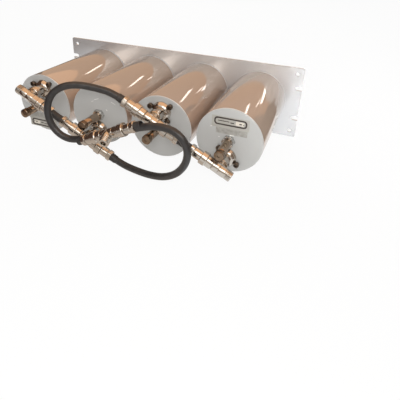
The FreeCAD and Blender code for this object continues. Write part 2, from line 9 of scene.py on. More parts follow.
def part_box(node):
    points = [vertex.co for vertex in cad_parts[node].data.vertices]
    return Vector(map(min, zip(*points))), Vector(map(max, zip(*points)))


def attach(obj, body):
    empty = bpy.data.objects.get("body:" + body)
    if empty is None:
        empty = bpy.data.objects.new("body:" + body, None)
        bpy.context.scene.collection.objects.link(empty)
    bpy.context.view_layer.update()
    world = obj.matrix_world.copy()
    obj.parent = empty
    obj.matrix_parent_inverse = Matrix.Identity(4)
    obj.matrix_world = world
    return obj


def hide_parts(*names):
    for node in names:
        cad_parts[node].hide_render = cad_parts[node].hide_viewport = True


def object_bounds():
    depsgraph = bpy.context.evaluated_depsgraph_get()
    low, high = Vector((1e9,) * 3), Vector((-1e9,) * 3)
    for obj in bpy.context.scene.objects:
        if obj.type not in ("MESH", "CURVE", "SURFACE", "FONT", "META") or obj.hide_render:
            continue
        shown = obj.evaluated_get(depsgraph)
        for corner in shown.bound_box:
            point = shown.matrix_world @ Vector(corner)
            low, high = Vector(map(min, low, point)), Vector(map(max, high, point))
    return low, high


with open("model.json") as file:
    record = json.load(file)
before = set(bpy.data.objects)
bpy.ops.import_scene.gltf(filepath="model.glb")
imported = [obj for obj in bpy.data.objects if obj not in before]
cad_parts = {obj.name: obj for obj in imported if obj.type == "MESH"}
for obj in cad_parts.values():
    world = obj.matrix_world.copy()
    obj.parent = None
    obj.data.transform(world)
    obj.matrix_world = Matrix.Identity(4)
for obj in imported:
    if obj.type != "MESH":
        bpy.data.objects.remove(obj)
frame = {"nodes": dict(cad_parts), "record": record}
cad_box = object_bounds()
MM = 0.001
CAVITIES = (1, 2, 3, 4)


# The photograph's camera: its place in metres, the last three in pixels of the photograph

CAMERA_PLACE = Vector((0.29189, -0.69073, 0.26729))
CAMERA_RIGHT = Vector((0.92987, 0.36651, 0.03186))
CAMERA_DOWN = Vector((0.18435, -0.38927, -0.90249))
PHOTO_SIDE = 400
FOCAL_PIXELS = 396.3
AXIS_PIXEL = (190, 125)


def add_camera():
    data = bpy.data.cameras.new("camera")
    data.sensor_fit = "HORIZONTAL"
    data.sensor_width = 36
    data.lens = FOCAL_PIXELS / PHOTO_SIDE * data.sensor_width
    data.shift_x = (PHOTO_SIDE / 2 - AXIS_PIXEL[0]) / PHOTO_SIDE
    data.shift_y = (AXIS_PIXEL[1] - PHOTO_SIDE / 2) / PHOTO_SIDE
    data.clip_end = 60
    camera = bpy.data.objects.new("camera", data)
    right, up = CAMERA_RIGHT.normalized(), -CAMERA_DOWN.normalized()
    turn = Matrix((right, up, right.cross(up))).transposed().to_4x4()
    camera.matrix_world = Matrix.Translation(CAMERA_PLACE) @ turn
    bpy.context.scene.collection.objects.link(camera)
    bpy.context.scene.camera = camera


# Materials: each is a Principled shader whose colour, roughness or relief follows noise

PATTERN_EDGES = (0.3, 0.7)  # most of a noise's values lie between these


class Finish:
    """A procedural material, built up by small steps. Patterns follow the object's own metres.

    color and roughness stay as its plain values, under the patterns of tint and gloss."""

    def __init__(self, name, color, roughness, metallic=0.0):
        self.material = bpy.data.materials.new(name)
        self.material.use_nodes = True
        self.tree = self.material.node_tree
        self.shader = self.tree.nodes["Principled BSDF"]
        self.shader.inputs["Base Color"].default_value = (*color, 1)
        self.shader.inputs["Metallic"].default_value = metallic
        self.shader.inputs["Roughness"].default_value = roughness
        self.place = self.tree.nodes.new("ShaderNodeTexCoord").outputs["Object"]

    def link(self, source, target):
        self.tree.links.new(source, target)

    def noise(self, scale, detail=3, stretch=(1, 1, 1)):
        """Noise with about scale bumps a metre, drawn out along an axis by a small stretch."""
        mapping = self.tree.nodes.new("ShaderNodeMapping")
        mapping.inputs["Scale"].default_value = stretch
        self.link(self.place, mapping.inputs["Vector"])
        texture = self.tree.nodes.new("ShaderNodeTexNoise")
        texture.inputs["Scale"].default_value = scale
        texture.inputs["Detail"].default_value = detail
        self.link(mapping.outputs["Vector"], texture.inputs["Vector"])
        return texture.outputs["Fac"]

    def spread(self, pattern, low, high, edges=PATTERN_EDGES):
        """Turn a pattern into values between low and high."""
        node = self.tree.nodes.new("ShaderNodeMapRange")
        node.inputs["From Min"].default_value, node.inputs["From Max"].default_value = edges
        node.inputs["To Min"].default_value, node.inputs["To Max"].default_value = low, high
        self.link(pattern, node.inputs["Value"])
        return node.outputs["Result"]

    def tint(self, pattern, first, second, edges=PATTERN_EDGES):
        """Colour runs from first to second with a pattern."""
        node = self.tree.nodes.new("ShaderNodeMix")
        node.data_type = "RGBA"
        node.inputs["A"].default_value = (*first, 1)
        node.inputs["B"].default_value = (*second, 1)
        self.link(self.spread(pattern, 0, 1, edges), node.inputs["Factor"])
        self.link(node.outputs["Result"], self.shader.inputs["Base Color"])

    def gloss(self, pattern, low, high):
        """Roughness runs from low to high with a pattern."""
        self.link(self.spread(pattern, low, high), self.shader.inputs["Roughness"])

    def bump(self, pattern, depth, strength):
        """Raise a pattern by depth metres."""
        node = self.tree.nodes.new("ShaderNodeBump")
        node.inputs["Distance"].default_value = depth
        node.inputs["Strength"].default_value = strength
        self.link(pattern, node.inputs["Height"])
        self.link(node.outputs["Normal"], self.shader.inputs["Normal"])

    def coat(self, weight, roughness):
        self.shader.inputs["Coat Weight"].default_value = weight
        self.shader.inputs["Coat Roughness"].default_value = roughness


def tube_finish():
    finish = Finish("tube_enamel", (0.54, 0.425, 0.345), metallic=0.35, roughness=0.07)
    finish.tint(finish.noise(9, 2, (1, 0.35, 1)), (0.55, 0.435, 0.35), (0.525, 0.41, 0.335))
    finish.gloss(finish.noise(12, 2, (1, 0.3, 1)), 0.06, 0.08)
    finish.coat(0.6, 0.03)
    return finish.material


def plate_finish():
    finish = Finish("plate_enamel", (0.47, 0.475, 0.47), roughness=0.36)
    finish.tint(finish.noise(14), (0.48, 0.485, 0.48), (0.45, 0.455, 0.45))
    finish.gloss(finish.noise(40), 0.28, 0.4)
    finish.bump(finish.noise(900, 2), 0.00003, 0.4)
    return finish.material


def edge_highlight_finish():
    # Lighter than the plate's enamel: a painted highlight along the chamfered rim
    finish = Finish("plate_edge", (0.56, 0.56, 0.555), metallic=0.2, roughness=0.4)
    finish.gloss(finish.noise(200), 0.34, 0.46)
    return finish.material


def panel_finish():
    finish = Finish("panel_metal", (0.78, 0.795, 0.815), metallic=0.62, roughness=0.22)
    finish.tint(finish.noise(6, 3, (0.4, 1, 1)), (0.79, 0.805, 0.825), (0.75, 0.765, 0.785))
    finish.gloss(finish.noise(50, 4, (0.05, 1, 1)), 0.19, 0.26)
    finish.bump(finish.noise(800, 2, (0.02, 1, 1)), 0.00001, 0.5)
    return finish.material


def nickel_finish():
    finish = Finish("nickel", (0.57, 0.53, 0.48), metallic=1.0, roughness=0.17)
    finish.tint(finish.noise(60), (0.59, 0.55, 0.50), (0.52, 0.475, 0.425), (0.35, 0.75))
    finish.gloss(finish.noise(120), 0.14, 0.21)
    return finish.material


def rod_finish():
    finish = Finish("rod_bronze", (0.36, 0.28, 0.215), metallic=1.0, roughness=0.05)
    finish.gloss(finish.noise(120, 4, (1, 0.1, 1)), 0.03, 0.08)
    return finish.material


def nut_finish():
    finish = Finish("nut_steel", (0.52, 0.52, 0.51), metallic=0.8, roughness=0.24)
    finish.tint(finish.noise(120), (0.54, 0.54, 0.53), (0.46, 0.455, 0.44))
    finish.gloss(finish.noise(200), 0.18, 0.3)
    return finish.material


def screw_finish():
    finish = Finish("dark_screw", (0.16, 0.12, 0.09), metallic=0.9, roughness=0.3)
    finish.tint(finish.noise(260), (0.18, 0.135, 0.10), (0.10, 0.08, 0.065))
    finish.gloss(finish.noise(300), 0.22, 0.42)
    return finish.material


def knob_finish():
    finish = Finish("knob_bronze", (0.27, 0.195, 0.135), metallic=1.0, roughness=0.2)
    finish.tint(finish.noise(200), (0.30, 0.215, 0.15), (0.19, 0.14, 0.10))
    finish.gloss(finish.noise(250), 0.14, 0.26)
    return finish.material


def jacket_finish():
    finish = Finish("cable_jacket", (0.030, 0.028, 0.028), roughness=0.32)
    finish.tint(finish.noise(120, 4), (0.036, 0.033, 0.032), (0.022, 0.021, 0.022))
    finish.gloss(finish.noise(90), 0.28, 0.38)
    finish.bump(finish.noise(1200, 2), 0.00003, 0.5)
    return finish.material


def boot_finish():
    finish = Finish("boot_rubber", (0.028, 0.026, 0.025), roughness=0.5)
    finish.tint(finish.noise(200), (0.034, 0.031, 0.030), (0.020, 0.018, 0.018))
    finish.gloss(finish.noise(140), 0.42, 0.6)
    finish.bump(finish.noise(700), 0.0001, 0.5)
    return finish.material


def copper_finish():
    finish = Finish("inner_copper", (0.72, 0.42, 0.28), metallic=1.0, roughness=0.28)
    finish.tint(finish.noise(60, 4), (0.76, 0.46, 0.31), (0.55, 0.30, 0.19))
    finish.gloss(finish.noise(80), 0.2, 0.4)
    return finish.material


def insulator_finish():
    finish = Finish("insulator", (0.80, 0.78, 0.72), roughness=0.38)
    finish.tint(finish.noise(300, 2), (0.82, 0.80, 0.74), (0.74, 0.71, 0.64))
    finish.shader.inputs["Subsurface Weight"].default_value = 0.2
    finish.shader.inputs["Subsurface Scale"].default_value = 0.001
    return finish.material


def print_finish(name, color, second):
    """Ink or film of a label, or a painted glint on a front plate: matte, a little uneven."""
    finish = Finish(name, color, roughness=0.45)
    finish.tint(finish.noise(220), color, second)
    finish.gloss(finish.noise(90, 2), 0.38, 0.55)
    return finish.material


# Turned, hexagonal and threaded shapes, in millimetres along their own Y axis

ON_AXIS = 1e-6  # a smaller radius, in millimetres, is a point on the axis
WELD = 1e-7  # vertices that are nearer, in metres, become one
KNURL_SHARP = 24  # degrees between faces from which a knurled piece's edges stay sharp
TUBE_STEPS, KNOB_STEPS, SMALL_STEPS = 256, 72, 48  # faces round a tube, a knob and a small piece


def along(point, direction):
    """A frame at point, in metres, whose Y axis lies along direction and whose unit is a millimetre."""
    turn = Vector((0, 1, 0)).rotation_difference(Vector(direction)).to_matrix().to_4x4()
    return Matrix.Translation(point) @ turn @ Matrix.Scale(MM, 4)


def softened(outline, radius, steps=3):
    """Round each inner corner of an open outline by a small curve, as far as its sides allow."""
    share = 0.45
    points = [Vector(point) for point in outline]
    result = [points[0]]
    for before, corner, after in zip(points, points[1:], points[2:]):
        into, out = corner - before, after - corner
        back = min(radius, into.length * share, out.length * share)
        start, end = corner - into.normalized() * back, corner + out.normalized() * back
        for step in range(steps + 1):
            t = step / steps
            result.append(start * (1 - t) ** 2 + corner * 2 * t * (1 - t) + end * t ** 2)
    result.append(points[-1])
    return [(point.x, point.y) for point in result]


def hexagon_reach(angle, across):
    """How far a hexagon's side is from its middle, in the direction of angle."""
    side = math.pi / 3
    return across / 2 / math.cos(angle % side - side / 2)


def add_turned(mesh, frame_at, outline, steps=96, across=None, knurl=None, closed=False):
    """Turn points, each a radius and a place along Y, about Y. across cuts the shape to a
    hexagon, and knurl = (first, last, depth) sinks every other point between two places."""
    rings = []
    for row, (radius, place) in enumerate(outline):
        if radius < ON_AXIS:
            rings.append([mesh.verts.new(frame_at @ Vector((0, place, 0)))])
            continue
        ring = []
        for step in range(steps):
            angle = 2 * math.pi * step / steps
            reach = radius if across is None else min(radius, hexagon_reach(angle, across))
            if knurl and knurl[0] <= place <= knurl[1] and (step + row) % 2:
                reach -= knurl[2]
            spot = Vector((reach * math.sin(angle), place, reach * math.cos(angle)))
            ring.append(mesh.verts.new(frame_at @ spot))
        rings.append(ring)
    following_rings = rings[1:] + rings[:1] if closed else rings[1:]
    for one, two in zip(rings, following_rings):
        for step in range(steps):
            following = (step + 1) % steps
            corners = dict.fromkeys((one[step % len(one)], one[following % len(one)],
                                     two[following % len(two)], two[step % len(two)]))
            if len(corners) > 2:
                mesh.faces.new(list(corners))


def knurled(radius, first, last, rows):
    """Outline points of a knurled stretch, one a row."""
    return [(radius, first + (last - first) * row / (rows - 1)) for row in range(rows)]


def add_thread(mesh, frame_at, root, crest, pitch, first, last, steps=SMALL_STEPS):
    """A helical ridge that grows out of the root at one end and sinks back at the other."""
    count = int((last - first) / pitch * steps)
    foot, half_width = root - 0.1, 0.45 * pitch
    previous = None
    for index in range(count + 1):
        angle = 2 * math.pi * index / steps
        place = first + (last - first) * index / count
        rise = min(1, index / steps, (count - index) / steps)
        section = []
        for radius, offset in ((foot, -half_width), (foot + (crest - foot) * rise, 0),
                               (foot, half_width)):
            point = Vector((radius * math.sin(angle), place + offset, radius * math.cos(angle)))
            section.append(mesh.verts.new(frame_at @ point))
        if previous:
            for one, two in ((0, 1), (1, 2), (2, 0)):
                mesh.faces.new([previous[one], previous[two], section[two], section[one]])
        previous = section


def piece(name, mesh, material, body, nodes=(), sharp=35):
    """Finish a mesh as a piece: outward normals, sharp edges by angle, its body and its slot. It hides the
    nodes that it stands for."""
    bmesh.ops.remove_doubles(mesh, verts=mesh.verts, dist=WELD)
    bmesh.ops.recalc_face_normals(mesh, faces=mesh.faces)
    limit = math.radians(sharp)
    for face in mesh.faces:
        face.smooth = True
    for edge in mesh.edges:
        edge.smooth = len(edge.link_faces) == 2 and edge.calc_face_angle(0) < limit
    data = bpy.data.meshes.new(name)
    mesh.to_mesh(data)
    mesh.free()
    data.materials.append(material)
    item = bpy.data.objects.new(name, data)
    bpy.context.scene.collection.objects.link(item)
    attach(item, body)
    if nodes:
        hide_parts(*nodes)
    return item


# Main sizes in millimetres

TUBE_WALL = 2.0
PLATE_THICKNESS = 1.6  # of a cavity's front plate
TEE_BODY_RADIUS = 8.1
TEE_ARM = 21.0  # from the middle of a tee to an arm's rim
NECK_RADIUS = 6.1  # of a cavity tee's stem
THREAD_RADIUS = 7.9
THREAD_ROOT = 7.6
THREAD_PITCH = 1.06
THREAD_LENGTH = 10.5
SOCKET_RADIUS = 4.2
SOCKET_DEPTH = 9.2
CONTACT_RADIUS = 1.5
CONTACT_DEPTH = 4.6  # from the rim to the centre contact's tip
INSULATOR_THICKNESS = 1.8
PLUG_LENGTH = 28.5
PLUG_CLAMP_ACROSS = 16.4  # over the flats of a plug's clamp nut
GRIP_RADIUS = 10.25  # of a coupling nut
ROD_RADIUS = 6.35
ROD_SHOULDER = 75.0  # where a tuning rod gets thin, from its knob's end
ROD_THIN_RADIUS = 3.2
KNOB_RADIUS = 7.15
LOCK_NUT_ACROSS = 17.5  # over its flats
FLANGE_RADIUS = 15.5  # of a loop housing
CLAMP_ANGLES = (-53, 35, 157)  # of the three screws round a loop housing, in degrees
CLAMP_CIRCLE = 18.6  # radius of the circle that those screws stand on
CLAMP_SEAT = 2.5  # height of their heads' seats over the front plate
FIXING_CIRCLE = 35.0  # radius of the circle of a cavity's four screws in the panel's back
CLAMP_SCREW = {"radius": 4.25, "height": 5.0, "shank": 2.5, "reach": 7.3}
PANEL_SCREW = {"radius": 4.6, "height": 2.8, "shank": 2.5, "reach": 8.0}


# Where things are, from the frame

front_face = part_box("cavity_1_tube")[0].y - PLATE_THICKNESS * MM


def middle(node):
    low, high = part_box(node)
    return (low + high) / 2


def mount(name):
    return next(item for item in frame["record"]["mounts"] if item["name"] == name)


def axis_frame(node, y, way=(0, 1, 0)):
    """A millimetre frame on a round node's axis, which lies along Y, with its origin at y metres."""
    centre = middle(node)
    return along(Vector((centre.x, y, centre.z)), way)


def tee_middle(number):
    """Where a cavity tee's bar crosses its stem."""
    stem = middle("cavity_%d_loop_housing" % number)
    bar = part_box("cavity_%d_tee" % number)[0].y + TEE_BODY_RADIUS * MM
    return Vector((stem.x, bar, stem.z))


def antenna_middle():
    """Where the three arms of the antenna tee meet."""
    port = mount("port_antenna")
    inward = (TEE_ARM - THREAD_LENGTH / 2) * MM
    return Vector(port["pos_m"]) - Vector(port["axis"]) * inward


bar_direction = Vector(mount("port_high_side")["axis"]).normalized()
antenna_port = Vector(mount("port_antenna")["axis"]).normalized()
antenna_bar = (middle("plug_antenna_to_2") - middle("plug_antenna_to_3")).normalized()
antenna_place = antenna_middle()


def bar_rim(number, side):
    """The rim of one arm of a cavity tee's bar. side is 1 or -1."""
    return tee_middle(number) + bar_direction * side * TEE_ARM * MM


def antenna_rim(side):
    """The rim of one arm of the antenna tee's bar. side is 1 or -1."""
    return antenna_place + antenna_bar * side * TEE_ARM * MM


def stem_rim(number):
    """The rim of a loop housing, which holds a cavity tee's stem."""
    node = "cavity_%d_loop_housing" % number
    stem = middle(node)
    return Vector((stem.x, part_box(node)[0].y, stem.z))


PLUGS = {
    "plug_1_to_2": (bar_rim(1, 1), bar_direction),
    "plug_2_to_1": (bar_rim(2, -1), -bar_direction),
    "plug_3_to_4": (bar_rim(3, 1), bar_direction),
    "plug_4_to_3": (bar_rim(4, -1), -bar_direction),
    "plug_3_to_antenna": (bar_rim(3, -1), -bar_direction),
    "plug_antenna_to_3": (antenna_rim(-1), -antenna_bar),
    "plug_2_to_antenna": (bar_rim(2, 1), bar_direction),
    "plug_antenna_to_2": (antenna_rim(1), antenna_bar),
}


# Pieces

def build_tubes(material):
    for number in CAVITIES:
        node = "cavity_%d_tube" % number
        low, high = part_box(node)
        radius = (high.x - low.x) / 2 / MM
        inner, near, far = radius - TUBE_WALL, low.y / MM, high.y / MM
        outline = softened([(inner, near), (radius, near), (radius, far), (inner, far)], 0.3)
        mesh = bmesh.new()
        add_turned(mesh, axis_frame(node, 0), outline, TUBE_STEPS, closed=True)
        piece("cavity_%d_tube_skin" % number, mesh, material, "chassis", [node])


def build_rims(material):
    """The chamfered edge round each front plate, in a lighter colour that is a painted highlight."""
    for number in CAVITIES:
        node = "cavity_%d_tube" % number
        low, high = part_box(node)
        radius = (high.x - low.x) / 2 / MM
        outline = [(radius - 1.0, 0.5), (radius - 0.8, -0.04), (radius - 0.45, -0.06),
                   (radius + 0.04, 0.42), (radius + 0.05, 1.5), (radius - 0.3, 1.5)]
        mesh = bmesh.new()
        add_turned(mesh, axis_frame(node, front_face), outline, TUBE_STEPS, closed=True)
        piece("cavity_%d_plate_edge" % number, mesh, material, "chassis")


def build_plugs(material):
    body = [(0, 0.2), (7.5, 0.2), (7.7, 1.6), (6.1, 1.6), (6.1, 9.2), (7.7, 9.2), (7.8, 9.8),
            (7.8, 19.9), (7.4, 20.4), (7.4, 21.5), (0, 21.5)]
    clamp = [(0, 21.4), (7.6, 21.4), (8.5, 22.0), (8.8, 22.6), (8.8, 27.4), (8.5, 28.0),
             (7.4, PLUG_LENGTH), (0, PLUG_LENGTH)]
    for name, (rim, way) in PLUGS.items():
        at = along(rim, way)
        mesh = bmesh.new()
        add_turned(mesh, at, softened(body, 0.3))
        add_turned(mesh, at, softened(clamp, 0.3, 2), across=PLUG_CLAMP_ACROSS)
        piece(name + "_body", mesh, material, "chassis", [name])


def build_coupling_nuts(material):
    outline = [(7.95, 1.6), (7.95, -9.3), (8.2, -9.7), (8.5, -9.7), (8.8, -9.4), (8.8, -1.0),
               (9.6, -0.5), (10.1, 0.0), (GRIP_RADIUS, 0.4), (GRIP_RADIUS, 1.2)]
    outline += knurled(GRIP_RADIUS, 1.6, 7.4, 9)
    outline += [(GRIP_RADIUS, 7.8), (10.1, 8.5), (9.7, 9.0), (6.4, 9.0), (6.15, 8.7), (6.15, 1.6)]
    places = list(PLUGS.values())
    places += [(stem_rim(number), Vector((0, -1, 0))) for number in CAVITIES]
    mesh = bmesh.new()
    for rim, way in places:
        add_turned(mesh, along(rim, way), outline, knurl=(1.5, 7.5, 0.13), closed=True)
    piece("coupling_nuts_knurled", mesh, material, "chassis", ["coupling_nuts"],
          sharp=KNURL_SHARP)


def add_arm(mesh, at, open_port):
    """An arm of a tee: half of the body, the thread's core, the socket and the centre contact."""
    thread_start = TEE_ARM - THREAD_LENGTH
    floor, tip = TEE_ARM - SOCKET_DEPTH, TEE_ARM - CONTACT_DEPTH
    outline = [(0, 0), (TEE_BODY_RADIUS, 0), (TEE_BODY_RADIUS, thread_start - 0.3),
               (THREAD_ROOT, thread_start), (THREAD_ROOT, TEE_ARM - 0.5), (6.9, TEE_ARM), (4.5, TEE_ARM),
               (SOCKET_RADIUS, TEE_ARM - 0.3), (SOCKET_RADIUS, floor), (CONTACT_RADIUS, floor),
               (CONTACT_RADIUS, tip - 0.3), (1.2, tip), (0.6, tip), (0.6, tip - 2.0), (0, tip - 2.0)]
    add_turned(mesh, at, softened(outline, 0.25, 2))
    if open_port:
        add_thread(mesh, at, THREAD_ROOT, THREAD_RADIUS, THREAD_PITCH, thread_start + 0.8, TEE_ARM - 0.9)


def add_insulator(name, at, material):
    """The white dielectric at the bottom of an open port."""
    floor = TEE_ARM - SOCKET_DEPTH
    inner, outer, top = CONTACT_RADIUS + 0.05, SOCKET_RADIUS - 0.05, floor + INSULATOR_THICKNESS
    outline = [(inner, floor), (inner, top), (outer, top), (outer, floor)]
    mesh = bmesh.new()
    add_turned(mesh, at, outline, steps=64, closed=True)
    piece(name, mesh, material, "chassis")


def build_tees(metal, insulator):
    for number in CAVITIES:
        centre = tee_middle(number)
        mesh = bmesh.new()
        for side in (-1, 1):
            open_port = (number, side) in ((1, -1), (4, 1))
            at = along(centre, bar_direction * side)
            add_arm(mesh, at, open_port)
            if open_port:
                add_insulator("port_%d_insulator" % number, at, insulator)
        at = along(centre, (0, 1, 0))
        stem = (stem_rim(number) - centre).length / MM
        outline = [(0, 0), (NECK_RADIUS, 0), (NECK_RADIUS, stem - 1.6), (7.5, stem - 1.6),
                   (7.7, stem - 0.1), (0, stem - 0.1)]
        add_turned(mesh, at, softened(outline, 0.3, 2))
        collar = [(NECK_RADIUS, 7.6), (7.4, 7.6), (7.4, 9.2), (NECK_RADIUS, 9.4)]
        add_turned(mesh, at, softened(collar, 0.3, 2))
        node = "cavity_%d_tee" % number
        piece(node + "_body", mesh, metal, "chassis", [node])
    mesh = bmesh.new()
    for way in (antenna_bar, -antenna_bar):
        add_arm(mesh, along(antenna_place, way), False)
    port = along(antenna_place, antenna_port)
    add_arm(mesh, port, True)
    add_insulator("port_antenna_insulator", port, insulator)
    piece("antenna_tee_body", mesh, metal, "chassis", ["antenna_tee"])


def build_tuning_rods(rod, knob):
    for number in CAVITIES:
        node = "cavity_%d_tuning_rod" % number
        body = "tuner_%d" % number
        low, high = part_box(node)
        at = axis_frame(node, low.y)
        length = (high.y - low.y) / MM
        shaft = [(0, 8.8), (ROD_RADIUS, 8.8), (ROD_RADIUS, 74.6), (6.0, ROD_SHOULDER),
                 (ROD_THIN_RADIUS, ROD_SHOULDER), (ROD_THIN_RADIUS, length), (0, length)]
        mesh = bmesh.new()
        add_turned(mesh, at, softened(shaft, 0.2, 2))
        piece(node + "_shaft", mesh, rod, body, [node])
        cap = [(0, 0.9), (1.6, 0.9), (2.0, 0.0), (5.9, 0.0), (6.7, 0.3), (KNOB_RADIUS, 0.9)]
        cap += knurled(KNOB_RADIUS, 1.4, 7.4, 9)
        cap += [(KNOB_RADIUS, 7.9), (6.9, 8.6), (ROD_RADIUS, 9.0), (0, 9.0)]
        mesh = bmesh.new()
        add_turned(mesh, at, cap, KNOB_STEPS, knurl=(1.3, 7.5, 0.3))
        piece(node + "_knob", mesh, knob, body, sharp=KNURL_SHARP)


def build_lock_nuts(material):
    for number in CAVITIES:
        node = "cavity_%d_lock_nut" % number
        low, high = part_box(node)
        height = (high.y - low.y) / MM
        outline = [(7.65, 0.4), (8.0, 0), (8.5, 0), (10.0, 0.7), (10.2, 1.4), (10.2, height - 1.4),
                   (10.0, height - 0.7), (8.5, height), (8.0, height), (7.65, height - 0.4)]
        at = axis_frame(node, low.y) @ Matrix.Rotation(math.pi / 6, 4, "Y")
        mesh = bmesh.new()
        add_turned(mesh, at, outline, across=LOCK_NUT_ACROSS, closed=True)
        piece(node + "_hex", mesh, material, "lock_nut_%d" % number, [node])


def build_loop_housings(material):
    for number in CAVITIES:
        node = "cavity_%d_loop_housing" % number
        rim = (front_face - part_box(node)[0].y) / MM
        outline = [(0, -4.8), (10.9, -4.8), (10.9, 0), (FLANGE_RADIUS, 0), (FLANGE_RADIUS, 1.7),
                   (15.1, 2.5), (14.5, 3.4), (14.0, 4.4), (13.3, 5.7), (12.3, 6.9), (10.9, 8.0),
                   (9.4, 8.7), (8.0, 8.9), (THREAD_RADIUS, 9.0), (THREAD_RADIUS, rim - 0.4),
                   (7.5, rim), (4.5, rim), (SOCKET_RADIUS, rim - 0.4), (SOCKET_RADIUS, rim - SOCKET_DEPTH),
                   (0, rim - SOCKET_DEPTH)]
        mesh = bmesh.new()
        add_turned(mesh, axis_frame(node, front_face, (0, -1, 0)), softened(outline, 0.3, 2))
        piece(node + "_dome", mesh, material, "chassis", [node])


def add_cap_screw(mesh, at, radius, height, shank, reach):
    """A cap screw with a hexagonal socket: head outward along Y from its seat at 0."""
    side = radius * 0.5
    head = [(shank, -reach), (shank, 0), (radius, 0)]
    head += [(radius, height - 0.5), (radius - 0.5, height), (side * 1.25, height)]
    add_turned(mesh, at, [(0, -reach)] + softened(head, 0.2, 2), SMALL_STEPS)
    socket = [(side * 1.25, height), (side * 1.05, height - 0.1), (side * 1.05, height - 1.8),
              (0, height - 2.1)]
    add_turned(mesh, at, socket, SMALL_STEPS, across=side * 1.9)


def on_circle(centre, radius, turn, y):
    """A place at y metres, on a circle round an axis through centre, turned from +X towards +Z."""
    return Vector((centre.x + radius * MM * math.cos(turn), y, centre.z + radius * MM * math.sin(turn)))


def build_screws(material):
    mesh = bmesh.new()
    for number in CAVITIES:
        stem = stem_rim(number)
        half_turn = 0 if number % 2 else math.pi
        for angle in CLAMP_ANGLES:
            turn = math.radians(angle) + half_turn
            spot = on_circle(stem, CLAMP_CIRCLE, turn, front_face - CLAMP_SEAT * MM)
            add_cap_screw(mesh, along(spot, (0, -1, 0)), **CLAMP_SCREW)
    piece("loop_clamp_cap_screws", mesh, material, "chassis", ["loop_clamp_screws"])
    mesh = bmesh.new()
    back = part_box("rack_panel")[1].y
    for number in CAVITIES:
        centre = middle("cavity_%d_tube" % number)
        for quarter in range(4):
            spot = on_circle(centre, FIXING_CIRCLE, math.pi / 4 + quarter * math.pi / 2, back)
            add_cap_screw(mesh, along(spot, (0, 1, 0)), **PANEL_SCREW)
    piece("panel_cap_screws", mesh, material, "chassis", ["panel_screws"])


# Cables. The control points are those of the cables' own routes, in metres.

CABLE_3_ROUTE = [
    (0.01296, -0.2275, 0.04980), (-0.00483, -0.2275, 0.05893), (-0.0330, -0.2335, 0.0645),
    (-0.0570, -0.2410, 0.0675), (-0.0770, -0.2485, 0.0635), (-0.0920, -0.2540, 0.0520),
    (-0.1000, -0.2570, 0.0350), (-0.1015, -0.2580, 0.0155), (-0.0945, -0.2575, -0.0030),
    (-0.0800, -0.2555, -0.0160), (-0.0613, -0.2530, -0.01924), (-0.04456, -0.2530, -0.01264),
]
CABLE_2_ROUTE = [
    (-0.01296, -0.2275, -0.04980), (0.00483, -0.2275, -0.05893), (0.0330, -0.2335, -0.0600),
    (0.0620, -0.2405, -0.0575), (0.0880, -0.2470, -0.0500), (0.1100, -0.2525, -0.0350),
    (0.1245, -0.2565, -0.0130), (0.1275, -0.2580, 0.0090), (0.1180, -0.2580, 0.0270),
    (0.1010, -0.2565, 0.0345), (0.0830, -0.2545, 0.0340), (0.0643, -0.2530, 0.03024),
    (0.04756, -0.2530, 0.02364),
]
CABLE_DIAMETER = 0.0108


def build_cable(node, route, material):
    data = bpy.data.curves.new(node + "_line", "CURVE")
    data.dimensions = "3D"
    spline = data.splines.new("NURBS")
    spline.points.add(len(route) - 1)
    for point, place in zip(spline.points, route):
        point.co = (*place, 1)
    spline.order_u = 3
    spline.use_endpoint_u = True
    spline.resolution_u = 12
    data.bevel_depth = CABLE_DIAMETER / 2
    data.bevel_resolution = 8
    data.use_fill_caps = True
    data.materials.append(material)
    item = bpy.data.objects.new(node + "_jacket", data)
    bpy.context.scene.collection.objects.link(item)
    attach(item, "chassis")
    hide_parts(node)


def build_boots(material):
    outline = [(5.45, 0), (6.5, 0), (6.5, 1.4), (6.25, 1.8), (6.25, 2.6), (6.45, 3.0), (6.4, 4.4),
               (6.1, 4.8), (6.1, 5.6), (6.25, 6.0), (6.15, 8.6), (5.9, 9.6), (5.6, 10), (5.45, 10)]
    mesh = bmesh.new()
    for name in ("plug_3_to_antenna", "plug_antenna_to_3", "plug_2_to_antenna", "plug_antenna_to_2"):
        rim, way = PLUGS[name]
        at = along(rim + way * PLUG_LENGTH * MM, way)
        add_turned(mesh, at, softened(outline, 0.3, 2), closed=True)
    return piece("cable_boot_sleeves", mesh, material, "chassis", ["cable_boots"])


def build_short_jumpers(material):
    """Shrink sleeve over each straight jumper, a little waisted between its two plugs."""
    radius, waist, ripple, rows = 6.4, 0.5, 0.06, 12
    for node, first, last in (("cable_1_2", "plug_1_to_2", "plug_2_to_1"),
                              ("cable_3_4", "plug_3_to_4", "plug_4_to_3")):
        start = PLUGS[first][0] + PLUGS[first][1] * PLUG_LENGTH * MM
        end = PLUGS[last][0] + PLUGS[last][1] * PLUG_LENGTH * MM
        length = (end - start).length / MM
        outline = [(0, 0)]
        for step in range(rows + 1):
            t = step / rows
            thinner = waist * math.sin(math.pi * t) ** 0.7
            outline.append((radius - thinner + ripple * math.cos(17 * t), length * t))
        outline.append((0, length))
        mesh = bmesh.new()
        add_turned(mesh, along(start, end - start), outline)
        piece(node + "_sleeve", mesh, material, "chassis", [node])


# Labels on the front plates of cavities 1 and 4, as plain fields, and painted glints (pale painted
# highlights) on the plates

# Bottom and top of each layer over the plate, in millimetres
FILM_LAYER, FRAME_LAYER, BAR_LAYER = (0.02, 0.14), (0.1, 0.24), (0.1, 0.26)
PATCH_LAYER, STRIP_LAYER, GLINT_LAYER = (0.1, 0.22), (0.02, 0.12), (0.01, 0.05)
# Fields of dark print inside the frame, as (x, z, width, height)
BARS = ((-9.5, 1.9, 17, 1.2), (3.2, 0.9, 5.5, 1.5), (15.5, 1.2, 3.6, 1.8), (20, 0.6, 1.6, 1.2))
